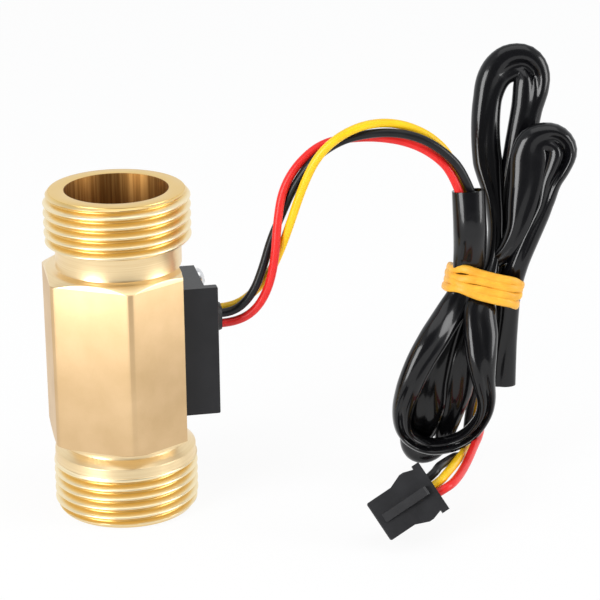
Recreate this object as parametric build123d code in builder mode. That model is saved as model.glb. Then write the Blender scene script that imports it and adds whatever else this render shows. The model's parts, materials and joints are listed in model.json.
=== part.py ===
from build123d import *
from math import cos, pi, radians, sin, tan
import os

os.makedirs("parts", exist_ok=True)

# In-line turbine flow sensor with two G3/4 male threads, millimetres.
# +Z runs along the bore, from the lower pipe end to the upper one.
# The origin is the centre of the lower end face, and +X points out of the sensor seat.

# Threaded ends. The flanks are left smooth, at the thread's major diameter.
thread_radius = 13.22
thread_end_radius = 12.15
thread_end_chamfer = 1.35
lower_thread_length = 10.0
upper_thread_length = 9.8
land_radius = 12.95
land_length = 1.7
flare_length = 1.3
neck_radius = 11.35
lower_neck_length = 1.05
upper_neck_length = 4.2

# Hexagon for the spanner, and the flat milled on it for the sensor
hex_length = 32.75
hex_across_flats = 26.5
hex_corner_radius = 15.05
upper_chamfer_angle = 30.0
upper_chamfer_width = 2.1
lower_chamfer_angle = 22.0
lower_chamfer_width = 2.85
seat_wall = 1.4

# Water way
chamber_radius = 8.8
mouth_step = 0.5
ledge_width = 0.8
ledge_height = 14.0
lower_mouth_depth = 9.0
upper_mouth_depth = 12.8

# Moulded inserts in the water way
insert_clearance = 0.05
insert_wall = 0.85
guide_length = 8.0
guide_hub_radius = 2.9
guide_nose_length = 3.2
nose_flat = 0.6
vane_count = 5
vane_thickness = 0.9
vane_twist = 42.0
arm_count = 3
arm_height = 4.0
arm_thickness = 1.2
cage_hub_radius = 2.9
cage_nose_length = 2.4
cage_hub_length = 5.7
ring_thickness = 1.0
ring_width = 1.4
ring_gap_angle = 40.0
ring_seat_depth = 0.55
ring_stand = 2.0

# Rotor, its shaft and the bushes that carry it
shaft_radius = 1.0
shaft_tip = 0.25
bush_radius = 1.9
bush_length = 2.8
bush_stand = 0.3
bush_running_clearance = 0.03
thrust_gap = 0.2
rotor_hub_radius = 2.5
magnet_radius = 4.9
magnet_length = 5.0
magnet_offset = 0.8
blade_count = 6
blade_thickness = 0.9
blade_top_margin = 1.0
blade_twist = 48.0
blade_tip_clearance = 0.5

# Sensor housing on the milled flat
gasket_thickness = 0.5
housing_width = 13.2
housing_height = 24.3
housing_thickness = 6.2
housing_offset = 0.425
housing_edge = 0.3
lug_thickness = 3.9
lug_height = 5.2
side_wall = 1.65
cavity_width = 8.6
cavity_height = 13.4
cavity_depth = 4.6
screw_edge = 2.1
screw_radius = 1.1
screw_clearance = 0.15
screw_bite = 1.75
screw_head_radius = 2.1
screw_head_height = 1.5
screw_slot_width = 0.55
screw_slot_depth = 0.6

# Circuit board behind the housing's wall
board_thickness = 1.0
board_clearance = 0.1
hall_width = 4.1
hall_height = 3.1
hall_thickness = 1.5
hall_drop = 3.0
chip_width = 1.25
chip_length = 2.0
chip_height = 0.9

# Leads and the grommet that they leave through
lead_radius = 0.8
grommet_length = 1.5
grommet_width = 4.0
grommet_height = 4.9
grommet_flare = 0.5
grommet_clearance = 0.05
grommet_offset = (0.55, 4.1)

# The bundled sleeve: u runs to the right in its plane, and depth runs away from the viewer
bundle_origin = (60.0, 0.0, 0.0)
bundle_turn = 11.3
band_centre = (7.7, 37.2)
band_tilt = 14.5
waist_width = 12.8
waist_depth = 10.4
waist_corner = 3.9
waist_height = 11.0
band_width = 6.4
band_thickness = 1.1
band_clearance = 0.05
band_strands = 4

# Plug on the free end
plug_origin = (40.69, -31.14, 5.4)
plug_axis = (0.8613, 0.0379, 0.5067)
plug_normal = (-0.2127, -0.8787, 0.4274)
plug_length = 11.8
plug_mouth_width = 7.8
plug_bulge_width = 9.8
plug_neck_width = 8.6
plug_flange_width = 9.9
plug_flange_length = 1.4
plug_thickness = 5.6
plug_wall = 1.0
plug_cavity_depth = 7.4
plug_edge = 0.25
latch_width = 1.6
latch_length = 9.2
latch_root_height = 0.35
latch_end_height = 1.4
latch_gap = 0.35
contact_pitch = 2.1
contact_size = 0.64
contact_length = 6.0
contact_clearance = 0.03
wire_slot_width = 4.8
wire_slot_height = 3.6
wire_slot_corner = 0.8
wire_slot_depth = 2.0

# Radii that follow from the chamber's
mouth_radius = chamber_radius + mouth_step
outlet_radius = chamber_radius - ledge_width
seat_distance = chamber_radius + seat_wall

# Heights along the bore, from the lower end face
land_base = lower_thread_length
flare_base = land_base + land_length
lower_neck_base = flare_base + flare_length
hex_base = lower_neck_base + lower_neck_length
hex_top = hex_base + hex_length
upper_thread_base = hex_top + upper_neck_length
body_length = upper_thread_base + upper_thread_length
upper_mouth_base = body_length - upper_mouth_depth

insert_radius = chamber_radius - insert_clearance
insert_bore = insert_radius - insert_wall
guide_base = ledge_height
guide_top = guide_base + guide_length
guide_hub_top = guide_top + 0.9
cage_base = guide_top
cage_top = upper_mouth_base - ring_stand - ring_thickness
cage_length = cage_top - cage_base
cage_hub_base = cage_top - cage_hub_length
rotor_base = guide_hub_top + bush_stand + thrust_gap
rotor_top = cage_hub_base - bush_stand - thrust_gap
rotor_length = rotor_top - rotor_base
bush_bore = shaft_radius + bush_running_clearance

seat_x = seat_distance + gasket_thickness
housing_face = seat_x + housing_thickness
lug_face = seat_x + lug_thickness
housing_middle = hex_base + hex_length / 2 + housing_offset
housing_base = housing_middle - housing_height / 2
housing_top = housing_middle + housing_height / 2
exit_height = housing_middle + grommet_offset[1]
housing_far = housing_width / 2
screw_y = housing_far - screw_edge
screw_heights = (housing_base + screw_edge, housing_top - screw_edge)

# Brass body: hexagon bar turned down to a thread at each end, bored through and milled flat on one side
lower_chamfer_rise = lower_chamfer_width * tan(radians(lower_chamfer_angle))
upper_chamfer_rise = upper_chamfer_width * tan(radians(upper_chamfer_angle))
with BuildPart() as brass_body:
    with BuildSketch(Plane.XY.offset(hex_base)):
        RegularPolygon(hex_across_flats / 2, 6, major_radius=False, rotation=30)
    extrude(amount=hex_length)
    # both ends of the hexagon are turned to a cone
    with BuildSketch(Plane.XZ):
        with BuildLine():
            Polyline(
                (0, hex_base),
                (hex_corner_radius - lower_chamfer_width, hex_base),
                (hex_corner_radius, hex_base + lower_chamfer_rise),
                (hex_corner_radius, hex_top - upper_chamfer_rise),
                (hex_corner_radius - upper_chamfer_width, hex_top),
                (0, hex_top),
                close=True,
            )
        make_face()
    revolve(axis=Axis.Z, mode=Mode.INTERSECT)
    with Locations((seat_distance + hex_corner_radius, 0, hex_base + hex_length / 2)):
        Box(2 * hex_corner_radius, 4 * hex_corner_radius, hex_length + 1, mode=Mode.SUBTRACT)
    # turned ends
    with BuildSketch(Plane.XZ):
        with BuildLine():
            Polyline(
                (0, 0),
                (thread_end_radius, 0),
                (thread_radius, thread_end_chamfer),
                (thread_radius, land_base),
                (land_radius, land_base),
                (land_radius, flare_base),
                (neck_radius, lower_neck_base),
                (neck_radius, hex_base),
                (0, hex_base),
                close=True,
            )
        make_face()
    revolve(axis=Axis.Z)
    with BuildSketch(Plane.XZ):
        with BuildLine():
            Polyline(
                (0, hex_top),
                (neck_radius, hex_top),
                (neck_radius, upper_thread_base),
                (thread_radius, upper_thread_base + (thread_radius - neck_radius) * 0.3),
                (thread_radius, body_length - thread_end_chamfer),
                (thread_end_radius, body_length),
                (0, body_length),
                close=True,
            )
        make_face()
    revolve(axis=Axis.Z)
    # water way, with a ledge for the inserts and a wider mouth at each end
    with BuildSketch(Plane.XZ):
        with BuildLine():
            Polyline(
                (0, 0),
                (mouth_radius, 0),
                (mouth_radius, lower_mouth_depth),
                (outlet_radius, lower_mouth_depth + mouth_radius - outlet_radius),
                (outlet_radius, ledge_height),
                (chamber_radius, ledge_height),
                (chamber_radius, cage_top),
                (chamber_radius + ring_seat_depth, cage_top),
                (chamber_radius + ring_seat_depth, cage_top + ring_thickness),
                (chamber_radius, cage_top + ring_thickness),
                (chamber_radius, upper_mouth_base),
                (mouth_radius, upper_mouth_base + mouth_radius - chamber_radius),
                (mouth_radius, body_length),
                (0, body_length),
                close=True,
            )
        make_face()
    revolve(axis=Axis.Z, mode=Mode.SUBTRACT)
    # blind holes for the two housing screws
    for height in screw_heights:
        with BuildSketch(Plane(origin=(seat_distance, screw_y, height), x_dir=(0, 1, 0), z_dir=(1, 0, 0))):
            Circle(screw_radius)
        extrude(amount=-screw_bite, mode=Mode.SUBTRACT)
brass_body.part.label = "brass_body"

# Inlet guide: a short tube with swept vanes that set the water turning
with BuildPart() as inlet_guide:
    with BuildSketch(Plane.XY.offset(guide_base)):
        Circle(insert_radius)
        Circle(insert_bore, mode=Mode.SUBTRACT)
    extrude(amount=guide_length)
    with BuildSketch(Plane.XZ):
        with BuildLine():
            Polyline(
                (0, guide_base - guide_nose_length),
                (0, guide_hub_top),
                (guide_hub_radius, guide_hub_top),
                (guide_hub_radius, guide_base),
            )
            ThreePointArc(
                (guide_hub_radius, guide_base),
                (guide_hub_radius * 0.78, guide_base - guide_nose_length * 0.68),
                (nose_flat, guide_base - guide_nose_length),
            )
            Line((nose_flat, guide_base - guide_nose_length), (0, guide_base - guide_nose_length))
        make_face()
    revolve(axis=Axis.Z)
    vane_reach = insert_bore - guide_hub_radius + 0.8
    vane_middle = (insert_bore + guide_hub_radius) / 2
    for vane in range(vane_count):
        for step in range(4):
            turn = vane * 360 / vane_count + vane_twist * step / 3
            with BuildSketch(Plane.XY.offset(guide_base + 0.6 + (guide_length - 1.2) * step / 3)):
                with Locations(Rotation(0, 0, turn) * Pos(vane_middle, 0, 0)):
                    Rectangle(vane_reach, vane_thickness)
        loft()
    with BuildSketch(Plane.XY.offset(guide_hub_top)):
        Circle(bush_radius)
    extrude(amount=bush_stand - bush_length, mode=Mode.SUBTRACT)
inlet_guide.part.label = "inlet_guide"

# Rotor cage: the tube that the rotor turns in, with three arms that hold the upper bush
with BuildPart() as rotor_cage:
    with BuildSketch(Plane.XY.offset(cage_base)):
        Circle(insert_radius)
        Circle(insert_bore, mode=Mode.SUBTRACT)
    extrude(amount=cage_length)
    with BuildSketch(Plane.XZ):
        with BuildLine():
            Polyline(
                (0, cage_top + cage_nose_length),
                (0, cage_hub_base),
                (cage_hub_radius, cage_hub_base),
                (cage_hub_radius, cage_top),
            )
            ThreePointArc(
                (cage_hub_radius, cage_top),
                (cage_hub_radius * 0.78, cage_top + cage_nose_length * 0.68),
                (nose_flat, cage_top + cage_nose_length),
            )
            Line((nose_flat, cage_top + cage_nose_length), (0, cage_top + cage_nose_length))
        make_face()
    revolve(axis=Axis.Z)
    with BuildSketch(Plane.XY.offset(cage_top - arm_height)):
        with PolarLocations((insert_bore + cage_hub_radius) / 2, arm_count):
            Rectangle(insert_bore - cage_hub_radius + 0.8, arm_thickness)
    extrude(amount=arm_height)
    with BuildSketch(Plane.XY.offset(cage_hub_base)):
        Circle(bush_radius)
    extrude(amount=bush_length - bush_stand, mode=Mode.SUBTRACT)
rotor_cage.part.label = "rotor_cage"

# Open spring ring in its groove above the cage
with BuildPart() as retaining_ring:
    with BuildSketch(Plane.XY.offset(cage_top)):
        Circle(chamber_radius + ring_seat_depth - insert_clearance)
        Circle(chamber_radius + ring_seat_depth - ring_width, mode=Mode.SUBTRACT)
        with BuildLine():
            reach = chamber_radius * 2
            half_gap = radians(ring_gap_angle / 2)
            Polyline(
                (0, 0),
                (reach * cos(half_gap), reach * sin(half_gap)),
                (reach * cos(half_gap), -reach * sin(half_gap)),
                close=True,
            )
        make_face(mode=Mode.SUBTRACT)
    extrude(amount=ring_thickness)
retaining_ring.part.label = "retaining_ring"

# Bearing bushes, pressed into the two hubs
with BuildPart() as lower_bush:
    with BuildSketch(Plane.XY.offset(guide_hub_top + bush_stand)):
        Circle(bush_radius)
        Circle(bush_bore, mode=Mode.SUBTRACT)
    extrude(amount=-bush_length)
lower_bush.part.label = "lower_bush"

with BuildPart() as upper_bush:
    with BuildSketch(Plane.XY.offset(cage_hub_base - bush_stand)):
        Circle(bush_radius)
        Circle(bush_bore, mode=Mode.SUBTRACT)
    extrude(amount=bush_length)
upper_bush.part.label = "upper_bush"

# Rotor: a hub with helical blades above a ring magnet
blade_tip_radius = insert_bore - blade_tip_clearance
magnet_base = rotor_base + magnet_offset
blade_base = magnet_base + magnet_length + 0.4
blade_length = rotor_top - blade_top_margin - blade_base
with BuildPart() as rotor:
    with BuildSketch(Plane.XY.offset(rotor_base)):
        Circle(rotor_hub_radius)
    extrude(amount=rotor_length)
    chamfer(rotor.edges().group_by(Axis.Z)[-1], length=rotor_hub_radius * 0.2)
    with BuildSketch(Plane.XY.offset(rotor_base)):
        Circle(magnet_radius)
    extrude(amount=magnet_offset)
    for blade in range(blade_count):
        for step in range(4):
            turn = blade * 360 / blade_count - blade_twist * step / 3
            blade_reach = blade_tip_radius - rotor_hub_radius + 0.6
            with BuildSketch(Plane.XY.offset(blade_base + blade_length * step / 3)):
                with Locations(Rotation(0, 0, turn) * Pos(blade_tip_radius - blade_reach / 2, 0, 0)):
                    Rectangle(blade_reach, blade_thickness)
        loft(ruled=True)
    with BuildSketch(Plane.XY.offset(rotor_base)):
        Circle(shaft_radius)
    extrude(amount=rotor_length, mode=Mode.SUBTRACT)
rotor.part.label = "rotor"

with BuildPart() as rotor_magnet:
    with BuildSketch(Plane.XY.offset(magnet_base)):
        Circle(magnet_radius)
        Circle(rotor_hub_radius, mode=Mode.SUBTRACT)
    extrude(amount=magnet_length)
rotor_magnet.part.label = "rotor_magnet"

shaft_base = guide_hub_top + bush_stand - bush_length + shaft_tip
shaft_top = cage_hub_base - bush_stand + bush_length - shaft_tip
with BuildPart() as rotor_shaft:
    with BuildSketch(Plane.XY.offset(shaft_base)):
        Circle(shaft_radius)
    extrude(amount=shaft_top - shaft_base)
    chamfer(rotor_shaft.edges().filter_by(GeomType.CIRCLE), length=shaft_radius * 0.25)
rotor_shaft.part.label = "rotor_shaft"

# Sensor housing: a moulded box, cut down to two screw lugs at its far corners
housing_plane = Plane(origin=(seat_x, 0, housing_middle), x_dir=(0, 1, 0), z_dir=(1, 0, 0))
lug_cut_width = housing_width - side_wall
with BuildPart() as sensor_housing:
    with BuildSketch(housing_plane):
        Rectangle(housing_width, housing_height)
    extrude(amount=housing_thickness)
    fillet(sensor_housing.faces().sort_by(Axis.X)[-1].edges(), radius=housing_edge)
    for side in (-1, 1):
        cut_height = side * (housing_height - lug_height) / 2
        with BuildSketch(housing_plane.offset(lug_thickness)):
            with Locations((side_wall / 2, cut_height + side * 0.5)):
                Rectangle(lug_cut_width, lug_height + 1.0)
        extrude(amount=housing_thickness, mode=Mode.SUBTRACT)
    # the pocket for the board opens towards the brass
    with BuildSketch(housing_plane):
        Rectangle(cavity_width, cavity_height)
    extrude(amount=cavity_depth, mode=Mode.SUBTRACT)
    for height in screw_heights:
        with BuildSketch(housing_plane):
            with Locations((screw_y, height - housing_middle)):
                Circle(screw_radius + screw_clearance)
        extrude(amount=housing_thickness, mode=Mode.SUBTRACT)
    with BuildSketch(housing_plane.offset(housing_thickness)):
        with Locations(grommet_offset):
            RectangleRounded(grommet_width, grommet_height, grommet_width * 0.4)
    extrude(amount=cavity_depth - housing_thickness, mode=Mode.SUBTRACT)
sensor_housing.part.label = "sensor_housing"

# Rubber gasket between the housing and the brass
with BuildPart() as seat_gasket:
    with BuildSketch(Plane(origin=(seat_distance, 0, housing_middle), x_dir=(0, 1, 0), z_dir=(1, 0, 0))):
        Rectangle(housing_width, housing_height)
        Rectangle(cavity_width, cavity_height, mode=Mode.SUBTRACT)
        for height in screw_heights:
            with Locations((screw_y, height - housing_middle)):
                Circle(screw_radius + screw_clearance, mode=Mode.SUBTRACT)
    extrude(amount=gasket_thickness)
seat_gasket.part.label = "seat_gasket"

# Circuit board with the magnetic switch against the thin brass wall
board_face = seat_distance + hall_thickness + 0.1
board_plane = Plane(origin=(board_face, 0, housing_middle), x_dir=(0, 1, 0), z_dir=(1, 0, 0))
with BuildPart() as circuit_board:
    with BuildSketch(board_plane):
        Rectangle(cavity_width - 2 * board_clearance, cavity_height - 2 * board_clearance)
    extrude(amount=board_thickness)
circuit_board.part.label = "circuit_board"

with BuildPart() as hall_element:
    with BuildSketch(board_plane):
        with Locations((0, -hall_drop)):
            Rectangle(hall_width, hall_height)
    extrude(amount=-hall_thickness)
    chamfer(hall_element.faces().sort_by(Axis.X)[0].edges().filter_by(Axis.Z), length=hall_thickness * 0.4)
hall_element.part.label = "hall_element"

with BuildPart() as board_chips:
    with BuildSketch(board_plane.offset(board_thickness)):
        with Locations((-2.2, -3.6), (1.2, -3.6)):
            Rectangle(chip_width, chip_length)
    extrude(amount=chip_height)
board_chips.part.label = "board_chips"

# Pan-head screws, one in each lug of the housing
with BuildPart() as housing_screws:
    for height in screw_heights:
        with BuildSketch(Plane(origin=(lug_face, screw_y, height), x_dir=(0, 1, 0), z_dir=(1, 0, 0))):
            Circle(screw_radius)
        extrude(amount=seat_distance - screw_bite + 0.1 - lug_face)
        with BuildSketch(Plane(origin=(0, screw_y, height), x_dir=(1, 0, 0), z_dir=(0, -1, 0))):
            with BuildLine():
                Line((lug_face, 0), (lug_face + screw_head_height, 0))
                ThreePointArc(
                    (lug_face + screw_head_height, 0),
                    (lug_face + screw_head_height * 0.86, screw_head_radius * 0.62),
                    (lug_face + screw_head_height * 0.4, screw_head_radius),
                )
                Line((lug_face + screw_head_height * 0.4, screw_head_radius), (lug_face, screw_head_radius))
                Line((lug_face, screw_head_radius), (lug_face, 0))
            make_face()
        revolve(axis=Axis((0, screw_y, height), (1, 0, 0)))
        head_top = lug_face + screw_head_height
        with BuildSketch(Plane(origin=(head_top, screw_y, height), x_dir=(0, 1, 0), z_dir=(1, 0, 0))):
            Rectangle(screw_head_radius * 1.1, screw_slot_width)
            Rectangle(screw_slot_width, screw_head_radius * 1.1)
        extrude(amount=-screw_slot_depth, mode=Mode.SUBTRACT)
housing_screws.part.label = "housing_screws"

# Grommet: it fills the slot in the housing and flares where the leads come out
grommet_plane = Plane(
    origin=(housing_face, grommet_offset[0], exit_height),
    x_dir=(0, 1, 0),
    z_dir=(1, 0, 0),
)
neck_width = grommet_width - 2 * grommet_clearance
neck_height = grommet_height - 2 * grommet_clearance
with BuildPart() as lead_grommet:
    with BuildSketch(grommet_plane):
        RectangleRounded(neck_width, neck_height, neck_width * 0.4)
    extrude(amount=cavity_depth - housing_thickness)
    with BuildSketch(grommet_plane):
        flare_width = neck_width + 2 * grommet_flare
        RectangleRounded(flare_width, neck_height + 2 * grommet_flare, flare_width * 0.4)
    with BuildSketch(grommet_plane.offset(grommet_length)):
        RectangleRounded(neck_width, neck_height, neck_width * 0.4)
    loft()
lead_grommet.part.label = "lead_grommet"


def route_radii(points):
    # The arc at each inner point is as large as the shorter of its two runs allows.
    radii = []
    for before, at, after in zip(points, points[1:], points[2:]):
        run_in = Vector(at) - Vector(before)
        run_out = Vector(after) - Vector(at)
        half_turn = radians(run_in.get_angle(run_out)) / 2
        radii.append(0.45 * min(run_in.length, run_out.length) / tan(half_turn))
    return radii


def describe_tube(name, tube, line, radii):
    # The arc radii, and the tube's volume against its section times the length of its line.
    length = sum(edge.length for edge in line.edges())
    ratio = tube.volume / (pi * lead_radius**2 * length)
    print(name, "length", round(length, 1), "volume ratio", round(ratio, 3))
    print("    arc radii", [round(radius, 1) for radius in radii])


# Three leads from the grommet over the arch to the mouth of the sleeve
lead_start = housing_face + grommet_length
red_points = [
    (lead_start, 0.0, exit_height - 1.25),
    (lead_start + 2.8, 0.0, exit_height - 1.25),
    (24.7, -1.2, 36.1),
    (27.0, -2.0, 40.5),
    (28.2, -2.2, 46.2),
    (28.8, -1.6, 52.8),
    (30.0, -0.6, 58.5),
    (32.9, 0.0, 63.0),
    (37.5, 0.2, 66.6),
    (43.0, -0.3, 67.4),
    (48.2, -1.0, 67.3),
    (53.2, -2.5, 66.4),
    (57.3, -3.9, 64.3),
    (60.6, -4.8, 60.9),
    (62.5, -4.3, 55.6),
]
black_points = [
    (lead_start, -0.1, exit_height + 0.75),
    (lead_start + 2.6, -0.1, exit_height + 0.75),
    (24.2, -1.1, 39.3),
    (26.2, -0.6, 43.9),
    (27.8, 0.2, 48.7),
    (29.8, 0.1, 53.4),
    (32.2, -0.4, 59.1),
    (35.6, -1.2, 64.1),
    (40.1, -1.8, 67.3),
    (45.0, -2.6, 68.6),
    (50.1, -3.9, 68.9),
    (54.7, -4.9, 67.8),
    (59.0, -5.3, 65.0),
    (62.5, -5.0, 61.1),
    (64.7, -4.4, 55.6),
]
yellow_points = [
    (lead_start, 1.5, exit_height + 1.25),
    (lead_start + 2.9, 1.5, exit_height + 1.25),
    (25.3, 1.1, 39.2),
    (27.7, 0.4, 42.5),
    (29.6, -0.8, 47.4),
    (31.3, -1.6, 52.7),
    (33.1, -2.3, 58.6),
    (35.5, -3.2, 64.5),
    (38.9, -3.8, 68.2),
    (43.4, -3.6, 70.3),
    (48.1, -2.8, 70.6),
    (52.8, -2.6, 69.6),
    (57.4, -2.9, 67.1),
    (61.1, -3.1, 62.9),
    (63.7, -2.9, 55.6),
]
red_radii = route_radii(red_points)
black_radii = route_radii(black_points)
yellow_radii = route_radii(yellow_points)

with BuildPart() as lead_red:
    with BuildLine() as red_line:
        FilletPolyline(*red_points, radius=red_radii)
    with BuildSketch(Plane(origin=red_line.line @ 0, z_dir=red_line.line % 0)):
        Circle(lead_radius)
    sweep()
lead_red.part.label = "lead_red"
describe_tube("lead_red", lead_red.part, red_line.line, red_radii)

with BuildPart() as lead_black:
    with BuildLine() as black_line:
        FilletPolyline(*black_points, radius=black_radii)
    with BuildSketch(Plane(origin=black_line.line @ 0, z_dir=black_line.line % 0)):
        Circle(lead_radius)
    sweep()
lead_black.part.label = "lead_black"
describe_tube("lead_black", lead_black.part, black_line.line, black_radii)

with BuildPart() as lead_yellow:
    with BuildLine() as yellow_line:
        FilletPolyline(*yellow_points, radius=yellow_radii)
    with BuildSketch(Plane(origin=yellow_line.line @ 0, z_dir=yellow_line.line % 0)):
        Circle(lead_radius)
    sweep()
lead_yellow.part.label = "lead_yellow"
describe_tube("lead_yellow", lead_yellow.part, yellow_line.line, yellow_radii)

# Bundled sleeve: a soft tube folded into five passes and pinched by the band
bundle_right = (cos(radians(bundle_turn)), -sin(radians(bundle_turn)), 0)
bundle_near = (-sin(radians(bundle_turn)), -cos(radians(bundle_turn)), 0)
bundle_plane = Plane(origin=bundle_origin, x_dir=bundle_right, z_dir=bundle_near)
tilt = radians(band_tilt)
band_axis = bundle_plane.x_dir * sin(tilt) + Vector(0, 0, 1) * cos(tilt)
band_along = bundle_plane.x_dir * cos(tilt) - Vector(0, 0, 1) * sin(tilt)
band_middle = bundle_plane.from_local_coords(Vector(band_centre[0], band_centre[1], 0))
band_plane = Plane(origin=band_middle, x_dir=band_along, z_dir=band_axis)
with BuildPart() as cable_sleeve:
    with BuildSketch(band_plane.offset(-waist_height / 2)):
        RectangleRounded(waist_width, waist_depth, waist_corner)
    extrude(amount=waist_height)
    # front loop below the band
    with BuildSketch(bundle_plane.offset(0.6)):
        with BuildLine():
            Spline(
                (1.8, 36.5),
                (-3.5, 32.6),
                (-6.4, 27.1),
                (-8.6, 21.2),
                (-9.6, 15.6),
                (-9.5, 11.5),
                (-8.2, 8.5),
                (-5.8, 6.4),
                (-2.2, 5.5),
                (1.6, 6.1),
                (5.3, 8.7),
                (7.9, 13.4),
                (9.6, 18.6),
                (10.3, 25.0),
                (11.0, 30.6),
                (11.6, 36.0),
            )
            Line((11.6, 36.0), (1.8, 36.5))
        make_face()
    extrude(amount=5.2)
    # back loop below the band, on which the bundle stands
    with BuildSketch(bundle_plane.offset(1.0)):
        with BuildLine():
            Spline(
                (2.6, 34.0),
                (-4.2, 22.0),
                (-7.0, 12.0),
                (-6.9, 5.4),
                (-5.0, 1.6),
                (-1.6, 0.15),
                (1.5, 0.4),
                (3.2, 3.0),
                (3.5, 8.0),
                (4.4, 14.0),
                (6.7, 25.3),
                (8.2, 34.0),
            )
            Line((8.2, 34.0), (2.6, 34.0))
        make_face()
    extrude(amount=-4.4)
    # mouth end of the sleeve
    with BuildSketch(bundle_plane.offset(1.0)):
        with BuildLine():
            Polyline((1.3, 56.6), (1.4, 39.0), (8.6, 39.0), (8.1, 57.0), close=True)
        make_face()
    extrude(amount=4.0)
    # upper loop, with the gap between its two legs
    with BuildSketch(bundle_plane.offset(1.5)):
        with BuildLine():
            Spline(
                (1.9, 40.5),
                (4.2, 54.7),
                (4.5, 62.3),
                (4.6, 69.8),
                (5.2, 75.8),
                (6.8, 79.8),
                (9.4, 82.4),
                (12.6, 83.6),
                (15.3, 83.2),
                (17.5, 81.2),
                (18.8, 78.0),
                (18.9, 74.3),
                (18.2, 70.5),
                (17.2, 62.0),
                (16.4, 54.0),
                (14.2, 40.5),
            )
            Line((14.2, 40.5), (1.9, 40.5))
        make_face()
        with BuildLine():
            Spline(
                (11.3, 76.0),
                (12.3, 74.5),
                (12.3, 72.1),
                (11.8, 69.4),
                (10.8, 65.5),
                (10.4, 68.7),
                (10.2, 72.1),
                (10.4, 74.9),
                periodic=True,
            )
        make_face(mode=Mode.SUBTRACT)
    extrude(amount=-5.0)
    # second loop, in front of the first
    with BuildSketch(bundle_plane.offset(1.2)):
        with BuildLine():
            Spline(
                (9.6, 41.0),
                (11.0, 55.8),
                (11.8, 63.3),
                (12.4, 67.1),
                (14.0, 69.2),
                (17.1, 69.8),
                (20.7, 69.2),
                (23.0, 67.5),
                (23.8, 65.6),
                (23.3, 63.4),
                (21.4, 61.0),
                (19.7, 56.6),
                (17.5, 50.0),
                (13.6, 41.0),
            )
            Line((13.6, 41.0), (9.6, 41.0))
        make_face()
    extrude(amount=4.0)
    # cut end of the sleeve, below the band
    with BuildSketch(bundle_plane.offset(-0.6)):
        with BuildLine():
            Polyline((6.4, 17.6), (14.1, 17.5), (14.0, 25.5), (13.2, 34.5), (7.0, 34.5), close=True)
        make_face()
    extrude(amount=-3.2)
    # the band pinches everything down to the waist
    with BuildSketch(band_plane.offset(-band_width / 2)):
        Rectangle(4 * waist_width, 4 * waist_width)
        RectangleRounded(waist_width, waist_depth, waist_corner, mode=Mode.SUBTRACT)
    extrude(amount=band_width, mode=Mode.SUBTRACT)
cable_sleeve.part.label = "cable_sleeve"

# Rubber band: strands wound side by side round the pinched waist
strand_height = band_width / band_strands
with BuildPart() as rubber_band:
    for strand in range(band_strands):
        centre_height = (strand - (band_strands - 1) / 2) * strand_height
        swell = 0.12 * (strand % 2)
        outer_width = waist_width + 2 * (band_clearance + band_thickness - swell)
        outer_depth = waist_depth + 2 * (band_clearance + band_thickness - swell)
        with BuildSketch(band_plane.offset(centre_height - strand_height / 2)):
            RectangleRounded(outer_width, outer_depth, waist_corner + band_clearance + band_thickness - swell)
            RectangleRounded(
                waist_width + 2 * band_clearance,
                waist_depth + 2 * band_clearance,
                waist_corner + band_clearance,
                mode=Mode.SUBTRACT,
            )
        extrude(amount=strand_height)
rubber_band.part.label = "rubber_band"

# Plug housing: waisted outline, flange at the wire end and an open socket at the other
plug_plane = Plane(origin=plug_origin, x_dir=plug_axis, z_dir=plug_normal)
flange_start = plug_length - plug_flange_length
plug_middle = -plug_thickness / 2
with BuildPart() as plug_housing:
    with BuildSketch(plug_plane):
        with BuildLine():
            upper = Polyline(
                (0, 0),
                (0, plug_mouth_width / 2),
                (plug_length * 0.44, plug_mouth_width / 2),
                (plug_length * 0.65, plug_bulge_width / 2),
                (plug_length * 0.72, plug_bulge_width / 2),
                (flange_start, plug_neck_width / 2),
                (flange_start, plug_flange_width / 2),
                (plug_length, plug_flange_width / 2),
                (plug_length, 0),
            )
            mirror(upper, about=Plane.XZ)
        make_face()
    extrude(amount=-plug_thickness)
    chamfer(plug_housing.faces().sort_by(Axis(plug_origin, plug_axis))[0].edges(), length=plug_edge)
    # latch arm on the broad face: it grows out of the housing and its end stands free at the flange
    latch_side = Plane(origin=plug_origin, x_dir=plug_axis, z_dir=-plug_plane.y_dir)
    with BuildSketch(latch_side.offset(-latch_width / 2)):
        with BuildLine():
            Polyline(
                (flange_start - latch_length, -0.2),
                (flange_start - latch_length, latch_root_height),
                (flange_start - 0.5, latch_end_height),
                (flange_start, latch_end_height - 0.3),
                (flange_start, latch_gap),
                (flange_start - latch_length * 0.45, 0.0),
                (flange_start - latch_length * 0.45, -0.2),
                close=True,
            )
        make_face()
    extrude(amount=latch_width)
    # socket
    mouth_plane = Plane(
        origin=plug_plane.from_local_coords(Vector(0, 0, plug_middle)),
        x_dir=plug_plane.y_dir,
        z_dir=plug_plane.x_dir,
    )
    with BuildSketch(mouth_plane):
        Rectangle(plug_mouth_width - 2 * plug_wall, plug_thickness - 2 * plug_wall)
    extrude(amount=plug_cavity_depth, mode=Mode.SUBTRACT)
    # slot for the three wires, and a square hole for each contact
    with BuildSketch(mouth_plane.offset(plug_length)):
        RectangleRounded(wire_slot_width, wire_slot_height, wire_slot_corner)
    extrude(amount=-wire_slot_depth, mode=Mode.SUBTRACT)
    with BuildSketch(mouth_plane.offset(plug_cavity_depth - 0.5)):
        with GridLocations(contact_pitch, 1, 3, 1):
            Rectangle(contact_size + 2 * contact_clearance, contact_size + 2 * contact_clearance)
    extrude(amount=plug_length - plug_cavity_depth, mode=Mode.SUBTRACT)
plug_housing.part.label = "plug_housing"

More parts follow.
